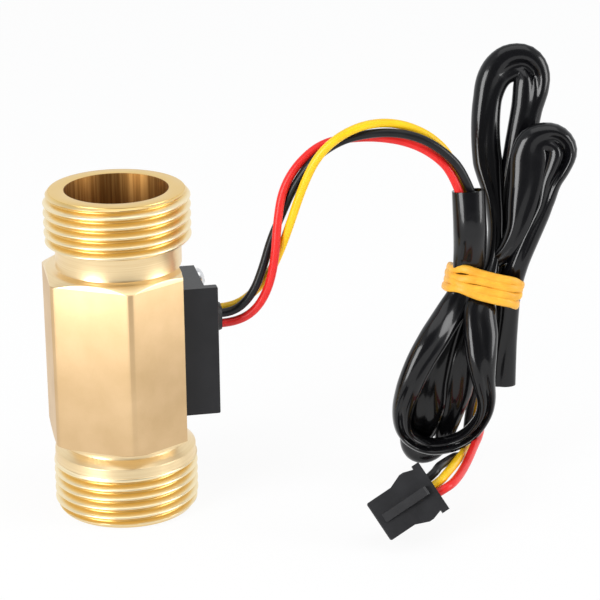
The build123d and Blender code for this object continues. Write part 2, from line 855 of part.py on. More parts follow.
# Contacts: square pins in the socket
pin_end = plug_length - wire_slot_depth
with BuildPart() as plug_contacts:
    with BuildSketch(mouth_plane.offset(pin_end)):
        with GridLocations(contact_pitch, 1, 3, 1):
            Rectangle(contact_size, contact_size)
    extrude(amount=-contact_length)
plug_contacts.part.label = "plug_contacts"

# Three tails from the plug to the cut end of the sleeve
# each tail leaves the slot beside the next one: across it, then up from its middle
tail_places = ((-1.4, 0.85), (0.0, 0.0), (1.4, -0.85))
tail_starts = []
for across, up in tail_places:
    start = mouth_plane.from_local_coords(Vector(across, up, plug_length - wire_slot_depth))
    tail_starts.append((start.X, start.Y, start.Z))
tail_red_points = [
    tail_starts[0],
    (53.0, -29.7, 10.0),
    (55.0, -28.3, 10.3),
    (57.8, -23.5, 10.0),
    (60.7, -17.7, 9.8),
    (63.5, -11.5, 9.7),
    (65.7, -6.9, 9.6),
    (67.2, -3.1, 10.2),
    (68.5, -1.1, 12.2),
    (68.9, -0.4, 15.2),
    (69.3, -0.3, 18.5),
]
tail_yellow_points = [
    tail_starts[1],
    (52.6, -28.2, 10.8),
    (54.1, -26.6, 11.4),
    (56.3, -22.8, 11.0),
    (58.9, -17.5, 10.1),
    (61.4, -11.6, 8.5),
    (63.0, -6.9, 6.9),
    (64.7, -4.0, 6.4),
    (66.7, -1.8, 6.9),
    (67.1, 0.1, 9.2),
    (67.4, 1.4, 12.1),
    (68.0, 1.6, 15.4),
    (68.6, 1.5, 18.5),
]
tail_black_points = [
    tail_starts[2],
    (52.0, -26.6, 11.8),
    (53.2, -24.9, 12.3),
    (55.2, -21.5, 11.4),
    (57.6, -16.2, 9.6),
    (60.1, -10.5, 7.5),
    (61.7, -6.4, 5.7),
    (63.3, -4.1, 4.7),
    (64.7, -1.9, 5.2),
    (65.3, -0.1, 7.9),
    (65.7, 0.3, 11.0),
    (66.2, 0.1, 14.6),
    (67.3, -0.0, 18.5),
]
tail_red_radii = route_radii(tail_red_points)
tail_yellow_radii = route_radii(tail_yellow_points)
tail_black_radii = route_radii(tail_black_points)

with BuildPart() as tail_red:
    with BuildLine() as tail_red_line:
        FilletPolyline(*tail_red_points, radius=tail_red_radii)
    with BuildSketch(Plane(origin=tail_red_line.line @ 0, z_dir=tail_red_line.line % 0)):
        Circle(lead_radius)
    sweep()
tail_red.part.label = "tail_red"
describe_tube("tail_red", tail_red.part, tail_red_line.line, tail_red_radii)

with BuildPart() as tail_yellow:
    with BuildLine() as tail_yellow_line:
        FilletPolyline(*tail_yellow_points, radius=tail_yellow_radii)
    with BuildSketch(Plane(origin=tail_yellow_line.line @ 0, z_dir=tail_yellow_line.line % 0)):
        Circle(lead_radius)
    sweep()
tail_yellow.part.label = "tail_yellow"
describe_tube("tail_yellow", tail_yellow.part, tail_yellow_line.line, tail_yellow_radii)

with BuildPart() as tail_black:
    with BuildLine() as tail_black_line:
        FilletPolyline(*tail_black_points, radius=tail_black_radii)
    with BuildSketch(Plane(origin=tail_black_line.line @ 0, z_dir=tail_black_line.line % 0)):
        Circle(lead_radius)
    sweep()
tail_black.part.label = "tail_black"
describe_tube("tail_black", tail_black.part, tail_black_line.line, tail_black_radii)
print("tail starts", [tuple(round(v, 2) for v in start) for start in tail_starts])

for piece in (
    brass_body,
    inlet_guide,
    rotor_cage,
    retaining_ring,
    lower_bush,
    upper_bush,
    rotor,
    rotor_magnet,
    rotor_shaft,
    sensor_housing,
    seat_gasket,
    circuit_board,
    hall_element,
    board_chips,
    housing_screws,
    lead_grommet,
    lead_red,
    lead_black,
    lead_yellow,
    cable_sleeve,
    rubber_band,
    plug_housing,
    plug_contacts,
    tail_red,
    tail_yellow,
    tail_black,
):
    export_step(piece.part, "parts/" + piece.part.label + ".step")
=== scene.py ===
"""Looks of the in-line turbine flow sensor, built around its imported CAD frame.

Lengths are in metres unless a name ends in _mm or the class says millimetres. +Z runs along the bore.
"""

import json
import logging
from collections.abc import Callable
from dataclasses import dataclass, field
from enum import Enum
from math import cos, pi, radians, sin, tan

import bpy
import numpy as np
from mathutils import Matrix, Vector

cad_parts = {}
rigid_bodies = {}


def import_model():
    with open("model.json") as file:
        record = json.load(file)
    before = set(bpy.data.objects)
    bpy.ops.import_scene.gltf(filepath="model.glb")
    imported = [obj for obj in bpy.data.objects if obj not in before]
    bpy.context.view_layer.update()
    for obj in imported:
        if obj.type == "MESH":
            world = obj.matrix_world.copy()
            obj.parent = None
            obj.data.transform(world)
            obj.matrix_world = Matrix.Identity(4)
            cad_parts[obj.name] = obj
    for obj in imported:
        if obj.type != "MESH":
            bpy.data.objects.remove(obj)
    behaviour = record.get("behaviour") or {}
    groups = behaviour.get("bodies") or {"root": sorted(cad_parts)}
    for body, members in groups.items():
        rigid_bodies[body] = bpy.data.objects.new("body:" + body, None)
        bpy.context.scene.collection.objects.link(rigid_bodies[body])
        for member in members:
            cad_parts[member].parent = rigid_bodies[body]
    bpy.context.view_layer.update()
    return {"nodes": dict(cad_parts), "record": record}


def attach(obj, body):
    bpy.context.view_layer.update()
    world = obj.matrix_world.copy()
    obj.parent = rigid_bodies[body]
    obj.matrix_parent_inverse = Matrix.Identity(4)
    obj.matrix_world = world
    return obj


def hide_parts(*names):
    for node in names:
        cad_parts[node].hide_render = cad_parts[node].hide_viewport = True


MM = 0.001
Pair = tuple[float, float]
Triple = tuple[float, float, float]
Colour = Triple
Socket = bpy.types.NodeSocket
UP = np.array([0.0, 0.0, 1.0])
log = logging.getLogger("flow_sensor")


# ---- objects and meshes


def add_object(name: str, data: bpy.types.ID) -> bpy.types.Object:
    """Makes an object of a mesh, curve, camera or lamp, links it to the scene and returns it."""
    made = bpy.data.objects.new(name, data)
    bpy.context.scene.collection.objects.link(made)
    return made


def mesh_piece(name: str, points: np.ndarray, faces: np.ndarray, smooth_angle: float = 35.0) -> bpy.types.Object:
    """Makes a mesh object with smooth faces and sharp edges.

    Args:
        name: the piece's name.
        points: (count, 3) places in metres.
        faces: (count, 4) corner indices of quads.
        smooth_angle: faces that meet at more than this many degrees keep a sharp edge.

    Returns:
        The new object, linked to the scene.
    """
    mesh = bpy.data.meshes.new(name)
    mesh.vertices.add(len(points))
    mesh.vertices.foreach_set("co", points.astype(np.float32).ravel())
    mesh.loops.add(faces.size)
    mesh.loops.foreach_set("vertex_index", faces.astype(np.int32).ravel())
    mesh.polygons.add(len(faces))
    mesh.polygons.foreach_set("loop_start", np.arange(0, faces.size, faces.shape[1], dtype=np.int32))
    mesh.update(calc_edges=True)
    mesh.validate()
    mesh.shade_smooth()
    mesh.set_sharp_from_angle(angle=radians(smooth_angle))
    return add_object(name, mesh)


def grid_faces(rows: int, columns: int, wrap_rows: bool = False) -> np.ndarray:
    """Quads that join a grid of points, row by row, where each row is a ring.

    Args:
        rows: number of rows.
        columns: number of points in a row.
        wrap_rows: whether the last row joins the first.

    Returns:
        (count, 4) point indices.
    """
    r, c = np.meshgrid(np.arange(rows if wrap_rows else rows - 1), np.arange(columns), indexing="ij")
    r2, c2 = (r + 1) % rows, (c + 1) % columns
    quads = np.stack([r * columns + c, r * columns + c2, r2 * columns + c2, r2 * columns + c], axis=-1)
    return quads.reshape(-1, 4)


def unit(vectors: np.ndarray) -> np.ndarray:
    """Scales vectors, which run along the last axis, to length 1."""
    return vectors / np.linalg.norm(vectors, axis=-1, keepdims=True)


def power_circle(angle: np.ndarray, power: float) -> tuple[np.ndarray, np.ndarray]:
    """The cosine and sine of an angle, each raised to a power and with its sign kept."""
    return tuple(np.sign(wave) * np.abs(wave) ** power for wave in (np.cos(angle), np.sin(angle)))


def sweep(line: np.ndarray, across: np.ndarray, out: np.ndarray, x: np.ndarray, y: np.ndarray) -> np.ndarray:
    """Carries a section along a line: (rows, columns, 3) points line + across x + out y."""
    return line[:, None] + across[:, None] * x[..., None] + out[:, None] * y[..., None]


def smoothstep(low: float, high: float, value: np.ndarray) -> np.ndarray:
    """Rises from 0 at low to 1 at high along 3t squared minus 2t cubed."""
    t = np.clip((value - low) / (high - low), 0.0, 1.0)
    return t * t * (3.0 - 2.0 * t)


def round_corners(loop: np.ndarray, reach: np.ndarray, steps: int) -> np.ndarray:
    """Rounds each corner of a closed profile.

    A corner P between A and B becomes the curve (1-t)^2 P1 + 2t(1-t) P + t^2 P2, where P1 and P2 lie on its two
    sides at the corner's reach, or at 0.4 of a side that is shorter than that allows.

    Args:
        loop: (corners, columns, 2) radius and height of each corner in each column.
        reach: (corners,) distance from each corner at which its rounding starts.
        steps: points per corner.

    Returns:
        (corners * steps, columns, 2) rounded profile.
    """
    ends = []
    for side in (np.roll(loop, 1, axis=0) - loop, np.roll(loop, -1, axis=0) - loop):
        length = np.linalg.norm(side, axis=2, keepdims=True) + 1e-9
        ends.append(loop + side / length * np.minimum(reach[:, None, None], 0.4 * length))
    start, end = ends
    t = np.linspace(0.0, 1.0, steps)[None, :, None, None]
    curve = (1 - t) ** 2 * start[:, None] + 2 * t * (1 - t) * loop[:, None] + t**2 * end[:, None]
    return curve.reshape(-1, loop.shape[1], 2)


# ---- shader helpers


@dataclass
class Graph:
    """Adds nodes to a shader tree and joins them."""

    tree: bpy.types.NodeTree

    def add(self, kind: str, inputs: dict | None = None, **settings: object) -> bpy.types.Node:
        """Adds a node.

        Args:
            kind: the node's type name without the ShaderNode prefix.
            inputs: value or output socket for each input, by name or number.
            settings: the node's own properties.

        Returns:
            The new node.
        """
        node = self.tree.nodes.new(kind if kind.startswith("Node") else "ShaderNode" + kind)
        for key, value in settings.items():
            setattr(node, key, value)
        for key, value in (inputs or {}).items():
            if isinstance(value, Socket):
                self.tree.links.new(value, node.inputs[key])
            else:
                node.inputs[key].default_value = value
        return node

    def ramp(self, factor: Socket, *stops: tuple[float, Colour]) -> Socket:
        """Adds a ramp between two colours at their places and returns its colour."""
        node = self.add("ValToRGB", {"Fac": factor})
        for element, (place, colour) in zip(node.color_ramp.elements, stops):
            element.position = place
            element.color = (*colour, 1.0)
        return node.outputs["Color"]

    def math(self, operation: str, *values: object) -> Socket:
        """Adds a Math node on up to three values or sockets and returns its result."""
        return self.add("Math", dict(enumerate(values)), operation=operation).outputs[0]

    def inside(self, value: Socket, low: float, high: float) -> Socket:
        """Adds a mask that is 1 where a value lies between two limits, and returns it."""
        return self.math("MULTIPLY", self.math("GREATER_THAN", value, low), self.math("LESS_THAN", value, high))

    def remap(self, value: Socket, to: Pair, source: Pair = (0.0, 1.0), **settings: object) -> Socket:
        """Adds a Map Range node that takes one range to another, and returns its result."""
        limits = {"From Min": source[0], "From Max": source[1], "To Min": to[0], "To Max": to[1]}
        return self.add("MapRange", {"Value": value, **limits}, **settings).outputs["Result"]

    def blend(self, mask: Socket, *colours: Socket) -> Socket:
        """Adds a Mix node that gives the first colour where a mask is 0 and the second where it is 1."""
        return self.add("Mix", {0: mask, 6: colours[0], 7: colours[1]}, data_type="RGBA").outputs[2]

    def seen(self) -> Socket:
        """Adds a mask that is 1 on camera, glossy and transmission rays, and returns it."""
        path = self.add("LightPath").outputs
        direct = self.math("MAXIMUM", path["Is Camera Ray"], path["Is Glossy Ray"])
        return self.math("MAXIMUM", direct, path["Is Transmission Ray"])


def start_graph(owner: bpy.types.ID) -> Graph:
    """Empties the shader tree of a material or world and returns a graph on it."""
    owner.use_nodes = True
    owner.node_tree.nodes.clear()
    return Graph(owner.node_tree)


class Group(Enum):
    """Shader groups that several finishes share."""

    GRAIN = "fine_grain"
    LINES = "tool_lines"
    MOTTLE = "mottle"


def make_group(kind: Group, sockets: dict[str, float]) -> tuple[Graph, bpy.types.bpy_prop_collection]:
    """Starts a shader group with a Vector input, named number inputs, and Mask and Height outputs.

    Args:
        kind: which group.
        sockets: name and first value of each number input.

    Returns:
        Its graph and the sockets that its input node gives.
    """
    tree = bpy.data.node_groups.new(kind.value, "ShaderNodeTree")
    tree.interface.new_socket(name="Vector", in_out="INPUT", socket_type="NodeSocketVector")
    for name, value in sockets.items():
        tree.interface.new_socket(name=name, in_out="INPUT", socket_type="NodeSocketFloat").default_value = value
    for name in ("Mask", "Height"):
        tree.interface.new_socket(name=name, in_out="OUTPUT", socket_type="NodeSocketFloat")
    graph = Graph(tree)
    return graph, graph.add("NodeGroupInput").outputs


def build_groups() -> None:
    """Builds the shared groups once."""
    g, given = make_group(Group.GRAIN, {"Scale": 2500.0, "Depth": 1.0})
    noise = g.add("TexNoise", {"Vector": given["Vector"], "Scale": given["Scale"], "Detail": 3.0}).outputs["Fac"]
    g.add("NodeGroupOutput", {"Mask": noise, "Height": g.math("MULTIPLY", noise, given["Depth"])})

    g, given = make_group(Group.LINES, {"Across": 2500.0, "Along": 30.0, "Depth": 1.0})
    stretch = g.add("CombineXYZ", {"X": given["Along"], "Y": given["Along"], "Z": given["Across"]})
    scaled = g.add("VectorMath", {0: given["Vector"], 1: stretch.outputs[0]}, operation="MULTIPLY")
    noise = g.add("TexNoise", {"Vector": scaled.outputs[0], "Scale": 1.0, "Detail": 4.0, "Roughness": 0.6})
    noise = noise.outputs["Fac"]
    g.add("NodeGroupOutput", {"Mask": noise, "Height": g.math("MULTIPLY", noise, given["Depth"])})

    g, given = make_group(Group.MOTTLE, {"Scale": 150.0, "Contrast": 2.0})
    noise = g.add("TexNoise", {"Vector": given["Vector"], "Scale": given["Scale"], "Detail": 5.0}).outputs["Fac"]
    spread = g.math("MULTIPLY_ADD", g.math("SUBTRACT", noise, 0.5), given["Contrast"], 0.5)
    spread.node.use_clamp = True
    g.add("NodeGroupOutput", {"Mask": spread, "Height": noise})


def place_group(graph: Graph, kind: Group, vector: Socket, **values: float) -> bpy.types.bpy_prop_collection:
    """Places a shared group in a material with its own values and returns its outputs."""
    node = graph.add("Group", node_tree=bpy.data.node_groups[kind.value])
    graph.tree.links.new(vector, node.inputs["Vector"])
    for key, value in values.items():
        node.inputs[key].default_value = value
    return node.outputs


MOTTLE_CONTRAST = 1.8
COAT_ROUGHNESS = 0.08
LIGHT_REACH = (0.0008, 0.0006, 0.0004)  # metres that red, green and blue travel under a surface


@dataclass(frozen=True)
class Finish:
    """A moulded, rubbery or lacquered surface: two close colours in a mottle, with a fine grain.

    Args:
        name: the material's name.
        dark, light: colours in the mottle's troughs and on its crests.
        roughness, spread: mean roughness and how much it changes to each side.
        mottle_scale, grain_scale: mottles and grains per metre.
        grain_depth: bump distance of the grain in metres.
        specular: specular level.
        coat: weight of a clear coat.
        metallic: 1 on bare metal.
        subsurface: weight of light let through the surface.
    """

    name: str
    dark: Colour
    light: Colour
    roughness: float = 0.45
    spread: float = 0.1
    mottle_scale: float = 200.0
    grain_scale: float = 3000.0
    grain_depth: float = 0.00001
    specular: float = 0.5
    coat: float = 0.0
    metallic: float = 0.0
    subsurface: float = 0.0

    def material(self) -> bpy.types.Material:
        """Builds the material and returns it."""
        made = bpy.data.materials.new(self.name)
        g = start_graph(made)
        place = g.add("TexCoord").outputs["Object"]
        mottle = place_group(g, Group.MOTTLE, place, Scale=self.mottle_scale, Contrast=MOTTLE_CONTRAST)
        grain = place_group(g, Group.GRAIN, place, Scale=self.grain_scale, Depth=1.0)
        colour = g.ramp(mottle["Mask"], (0.0, self.dark), (1.0, self.light))
        rough = g.remap(grain["Mask"], (self.roughness - self.spread, self.roughness + self.spread))
        bump = g.add("Bump", {"Height": grain["Height"], "Distance": self.grain_depth, "Strength": 1.0})
        shader = g.add(
            "BsdfPrincipled",
            {
                "Base Color": colour,
                "Roughness": rough,
                "Normal": bump.outputs["Normal"],
                "Metallic": self.metallic,
                "Specular IOR Level": self.specular,
                "Coat Weight": self.coat,
                "Coat Roughness": COAT_ROUGHNESS,
                "Subsurface Weight": self.subsurface,
                "Subsurface Radius": LIGHT_REACH,
            },
        )
        g.add("OutputMaterial", {"Surface": shader.outputs[0]})
        return made


@dataclass(frozen=True)
class Brass:
    """Bare brass: glossy where it was turned, duller on the drawn flats, and in the bore scored along and darkened to
    brown with painted shade.

    Args:
        name: the material's name.
        turned_dark, turned_light: the two colours of the turned ends.
        flat_dark, flat_light: the two colours of the hexagon's flats.
        root, crest: colours in the thread's grooves, darker with painted shade, and on its crests, paler with a
            painted highlight.
        groove: radii in metres up to and from which those colours are full.
        middle: heights in metres at which the lower thread ends and the upper one starts.
        thread_share: how much root and crest show on the threads.
        bore_painted_shade_dark, bore_painted_shade_light: colours of the bore's scores and between them, both darkened
        to brown with painted shade.
        bore_radius, bore_roughness: radius in metres inside which the wall counts as bore, and its roughness.
        flats: heights in metres between which the flats lie.
        turned_roughness, flat_roughness: least and most roughness of each.
        relief: bump distance of the tool lines and the grain in metres.
    """

    name: str = "turned_brass"
    turned_dark: Colour = (0.80, 0.59, 0.31)
    turned_light: Colour = (0.95, 0.77, 0.48)
    flat_dark: Colour = (0.62, 0.425, 0.22)
    flat_light: Colour = (0.74, 0.525, 0.295)
    # painted shade in the thread's grooves and a painted highlight on its crests
    root: Colour = (0.80, 0.53, 0.14)
    crest: Colour = (0.97, 0.84, 0.56)
    groove: Pair = (0.0121, 0.0131)
    middle: Pair = (0.0099, 0.0513)
    thread_share: float = 0.75
    # painted shade: the bore's colours are darkened to brown as the shade inside it
    bore_painted_shade_dark: Colour = (0.24, 0.11, 0.028)
    bore_painted_shade_light: Colour = (0.42, 0.22, 0.065)
    bore_radius: float = 0.0094
    bore_roughness: float = 0.48
    flats: Pair = (0.0149, 0.0457)
    turned_roughness: Pair = (0.27, 0.38)
    flat_roughness: Pair = (0.36, 0.52)
    relief: float = 0.000006

    def material(self) -> bpy.types.Material:
        """Builds the material and returns it."""
        made = bpy.data.materials.new(self.name)
        g = start_graph(made)
        place = g.add("TexCoord").outputs["Object"]
        height = g.add("SeparateXYZ", {0: place}).outputs["Z"]
        # masks: the flats lie between two heights, the bore inside a radius
        flats = g.inside(height, *self.flats)
        level = g.add("VectorMath", {0: place, 1: (1.0, 1.0, 0.0)}, operation="MULTIPLY")
        radius = g.add("VectorMath", {0: level.outputs[0]}, operation="LENGTH").outputs["Value"]
        bore = g.math("LESS_THAN", radius, self.bore_radius)
        # patterns: fine rings, scores that run along the bore, blotches and a grain
        lines = place_group(g, Group.LINES, place, Across=5200.0, Along=40.0, Depth=0.6)
        scores = place_group(g, Group.LINES, place, Across=25.0, Along=1300.0, Depth=1.0)
        blotch = place_group(g, Group.MOTTLE, place, Scale=170.0, Contrast=1.6)
        grain = place_group(g, Group.GRAIN, place, Scale=2400.0, Depth=0.7)
        # colours: the threads go from painted shade in the grooves to a painted highlight on the crests, and lie below
        # one height or above another
        turned = g.ramp(lines["Mask"], (0.2, self.turned_dark), (0.8, self.turned_light))
        groove = g.remap(radius, (0.0, 1.0), self.groove, interpolation_type="SMOOTHSTEP")
        # painted light: from the shaded groove colour at the root to the highlight colour at the crest
        threads = g.ramp(groove, (0.0, self.root), (1.0, self.crest))
        middle = g.inside(height, *self.middle)
        share = g.math("MULTIPLY_ADD", middle, -self.thread_share, self.thread_share)
        turned = g.blend(share, turned, threads)
        flat = g.ramp(blotch["Mask"], (0.0, self.flat_dark), (1.0, self.flat_light))
        # the bore: its own scores, in colours darkened with painted shade
        inside = g.ramp(scores["Mask"], (0.42, self.bore_painted_shade_dark), (0.58, self.bore_painted_shade_light))
        colour = g.blend(bore, g.blend(flats, turned, flat), inside)
        # roughness and relief
        dull = g.remap(grain["Mask"], self.flat_roughness)
        sharp = g.remap(blotch["Mask"], self.turned_roughness)
        rough = g.add("Mix", {0: flats, 2: sharp, 3: dull})
        rough = g.add("Mix", {0: bore, 2: rough.outputs[0], 3: self.bore_roughness})
        marks = g.math("ADD", lines["Height"], grain["Height"])
        bump = g.add("Bump", {"Height": marks, "Distance": self.relief, "Strength": 0.7})
        shader = g.add(
            "BsdfPrincipled",
            {"Base Color": colour, "Roughness": rough.outputs[0], "Normal": bump.outputs["Normal"], "Metallic": 1.0},
        )
        g.add("OutputMaterial", {"Surface": shader.outputs[0]})
        return made


WIRE_SURFACE = (0.34, 0.06, 300.0, 1500.0, 0.000006)  # roughness and its spread, mottle, grain, grain's depth
FINISHES = {
    "brass": Brass(),
    "insert_plastic": Finish("insert_acetal", (0.74, 0.74, 0.72), (0.84, 0.84, 0.82), 0.42),
    "rotor_plastic": Finish("rotor_moulding", (0.80, 0.80, 0.77), (0.88, 0.88, 0.86), 0.38),
    "magnet": Finish("bonded_magnet", (0.06, 0.06, 0.065), (0.10, 0.10, 0.105), 0.55),
    "steel": Finish("plated_steel", (0.62, 0.62, 0.63), (0.78, 0.78, 0.79), 0.26, 0.08, metallic=1.0),
    "bush": Finish("bush_moulding", (0.12, 0.12, 0.13), (0.18, 0.18, 0.19), 0.5),
    "housing_plastic": Finish(
        "housing_moulding", (0.008, 0.008, 0.009), (0.014, 0.014, 0.016), 0.36, 0.06, 160.0, 2600.0, 0.000012, 0.3
    ),
    "gasket": Finish("gasket_rubber", (0.012, 0.012, 0.012), (0.03, 0.03, 0.03), 0.7),
    "board": Finish("board_lacquer", (0.01, 0.09, 0.035), (0.02, 0.14, 0.05), 0.3),
    "chip": Finish("chip_moulding", (0.015, 0.015, 0.016), (0.035, 0.035, 0.036), 0.55),
    "grommet": Finish("grommet_rubber", (0.012, 0.012, 0.012), (0.03, 0.03, 0.03), 0.5, specular=0.35),
    "red_wire": Finish("red_insulation", (0.66, 0.012, 0.010), (0.80, 0.026, 0.022), *WIRE_SURFACE, 0.35),
    "black_wire": Finish("black_insulation", (0.004, 0.004, 0.005), (0.010, 0.010, 0.011), *WIRE_SURFACE, 0.3),
    "yellow_wire": Finish("yellow_insulation", (0.84, 0.48, 0.006), (0.93, 0.58, 0.012), *WIRE_SURFACE, 0.35),
    "sleeve": Finish(
        "sleeve_tube", (0.002, 0.002, 0.0025), (0.004, 0.004, 0.005), 0.22, 0.04, 120.0, 700.0, 0.000006, 0.2, coat=0.4
    ),
    "band": Finish(
        "band_rubber", (0.72, 0.325, 0.022), (0.88, 0.47, 0.045), 0.45, 0.08, 500.0, 2500.0, 0.00002, 0.35,
        subsurface=0.1,
    ),
    "plug": Finish(
        "plug_moulding", (0.009, 0.009, 0.010), (0.019, 0.019, 0.021), 0.42, 0.08, 260.0, 3200.0, 0.000014, 0.34
    ),
    "contact": Finish("tinned_contact", (0.62, 0.62, 0.62), (0.78, 0.78, 0.78), 0.3, 0.08, metallic=1.0),
}


@dataclass
class Materials:
    """The materials, each built the first time that a piece asks for it."""

    made: dict[str, bpy.types.Material] = field(default_factory=dict)

    def get(self, slot: str) -> bpy.types.Material:
        """Returns the material of a record slot."""
        if slot not in self.made:
            self.made[slot] = FINISHES[slot].material()
        return self.made[slot]

    def dress(self, piece: bpy.types.Object, slot: str) -> None:
        """Puts a slot's material on a piece."""
        if not piece.material_slots:
            piece.data.materials.append(self.get(slot))
        for place in piece.material_slots:
            place.material = self.get(slot)


# ---- camera, floor and light


@dataclass(frozen=True)
class Lamp:
    """A rectangular soft lamp.

    Args:
        name: the lamp's name.
        place, size: its centre, and its width and height, in metres.
        power: watts.
    """

    name: str
    place: Triple
    size: Pair
    power: float

    def build(self, aim: Vector) -> None:
        """Adds the lamp, turned to face the aim."""
        data = bpy.data.lights.new(self.name, "AREA")
        data.shape = "RECTANGLE"
        data.size, data.size_y = self.size
        data.energy = self.power
        made = add_object(self.name, data)
        made.location = self.place
        made.rotation_euler = (aim - Vector(self.place)).to_track_quat("-Z", "Y").to_euler()


@dataclass
class Studio:
    """Camera, floor and lamps.

    Args:
        azimuth, elevation, roll: degrees that the camera turns from +Y towards +X, looks down and leans.
        lens_mm, place_mm: its focal length on a 36 mm sensor, and its place.
        lamps: the lamps, which face aim, in metres.
        floor_colour, floor_glow: the floor's colour, and how much of what is seen of it is plain white.
        front: the direction in which the surround is darkest.
        surround, dark_front, backdrop: its strength, that in front and that seen behind the part.
        tint: the surround's colour.
    """

    azimuth: float = 11.3
    elevation: float = 19.61
    roll: float = -0.6
    lens_mm: float = 144.0
    place_mm: Triple = (-48.3, -407.7, 185.1)
    lamps: tuple[Lamp, ...] = (
        Lamp("left_strip", (-0.66, -0.50, 0.26), (0.4, 0.6), 7.0),
        Lamp("right_strip", (0.76, -0.36, 0.26), (0.36, 0.6), 4.1),
        Lamp("top_soft", (0.02, -0.25, 0.92), (0.9, 0.7), 2.2),
    )
    aim: Triple = (0.03, 0.0, 0.035)
    floor_colour: Colour = (0.89, 0.895, 0.905)
    floor_glow: float = 0.91
    front: Triple = (-0.19, -0.93, 0.31)
    surround: float = 0.62
    dark_front: float = 0.16
    backdrop: float = 1.0
    tint: Colour = (0.96, 0.98, 1.0)

    def camera(self) -> None:
        """Makes the camera, looking along (sin az cos el, cos az cos el, -sin el)."""
        az, el, roll = radians(self.azimuth), radians(self.elevation), radians(self.roll)
        look = Vector((sin(az) * cos(el), cos(az) * cos(el), -sin(el)))
        right = Vector((cos(az), -sin(az), 0.0))
        up = right.cross(look)
        right, up = right * cos(roll) + up * sin(roll), up * cos(roll) - right * sin(roll)
        turn = Matrix((right, up, -look)).transposed().to_4x4()
        data = bpy.data.cameras.new("camera")
        data.lens = self.lens_mm
        data.sensor_width = 36.0
        data.clip_start = 0.01
        data.clip_end = 20.0
        made = add_object("camera", data)
        made.matrix_world = Matrix.Translation(Vector(self.place_mm) * MM) @ turn
        bpy.context.scene.camera = made

    def floor(self) -> None:
        """Makes a pale floor that takes a soft shadow and is seen, also in the part, as nearly plain white."""
        drop = -0.0002
        corners = np.array([(-4.0, -4.0, drop), (4.0, -4.0, drop), (4.0, 6.0, drop), (-4.0, 6.0, drop)])
        piece = mesh_piece("floor", corners, np.array([[0, 1, 2, 3]]))
        made = bpy.data.materials.new("floor_white")
        g = start_graph(made)
        share = g.math("MULTIPLY", g.seen(), self.floor_glow)
        lit = g.add("BsdfDiffuse", {"Color": (*self.floor_colour, 1.0)})
        own = g.add("Emission", {"Color": (1.0, 1.0, 1.0, 1.0), "Strength": 1.0})
        both = g.add("MixShader", {"Fac": share, 1: lit.outputs[0], 2: own.outputs[0]})
        g.add("OutputMaterial", {"Surface": both.outputs[0]})
        piece.data.materials.append(made)

    def world(self) -> None:
        """Makes a grey surround, darker in front, that is seen as a white backdrop behind the part."""
        made = bpy.data.worlds.new("surround")
        bpy.context.scene.world = made
        g = start_graph(made)
        place = g.add("TexCoord").outputs["Generated"]
        facing = g.add("VectorMath", {0: place, 1: self.front}, operation="DOT_PRODUCT").outputs["Value"]
        ends = (self.surround, self.dark_front)
        strength = g.remap(facing, ends, (0.6, 0.92), interpolation_type="SMOOTHSTEP")
        behind = g.remap(facing, (0.0, self.backdrop - self.surround), (0.2, -0.4))
        total = g.math("MULTIPLY_ADD", g.seen(), behind, strength)
        own = g.add("Background", {"Color": (*self.tint, 1.0), "Strength": total})
        g.add("OutputWorld", {"Surface": own.outputs[0]})

    def build(self) -> None:
        """Builds the camera, floor, lamps and surround."""
        self.camera()
        self.floor()
        for lamp in self.lamps:
            lamp.build(Vector(self.aim))
        self.world()
        bpy.context.scene.view_settings.view_transform = "Standard"


# ---- cords


@dataclass
class Route:
    """A cord's control points in millimetres, in the order in which it runs."""

    points: list[Triple]

    def curve(self, name: str, radius: float) -> bpy.types.Object:
        """Makes a NURBS curve through the control points.

        Args:
            name: the curve's name.
            radius: the tube's radius, or 0 for a bare line.

        Returns:
            The curve object.
        """
        data = bpy.data.curves.new(name, "CURVE")
        data.dimensions = "3D"
        data.resolution_u = 12
        spline = data.splines.new("NURBS")
        spline.points.add(len(self.points) - 1)
        places = np.ones((len(self.points), 4), dtype=np.float32)
        places[:, :3] = np.array(self.points) * MM
        spline.points.foreach_set("co", places.ravel())
        spline.order_u = 3
        spline.use_endpoint_u = True
        if radius > 0:
            data.bevel_depth = radius
            data.bevel_resolution = 6
            data.use_fill_caps = True
        return add_object(name, data)

    def line(self, name: str) -> np.ndarray:
        """Returns the points of the route's smooth line, (count, 3) in metres."""
        bare = self.curve(name, 0.0)
        read = bpy.data.meshes.new_from_object(bare)
        points = np.empty(len(read.vertices) * 3, dtype=np.float32)
        read.vertices.foreach_get("co", points)
        bpy.data.meshes.remove(read)
        bpy.data.curves.remove(bare.data)  # and with it the object
        return points.reshape(-1, 3).astype(float)


def hops(points: np.ndarray) -> np.ndarray:
    """The distances between neighbouring points."""
    return np.linalg.norm(np.diff(points, axis=0), axis=1)


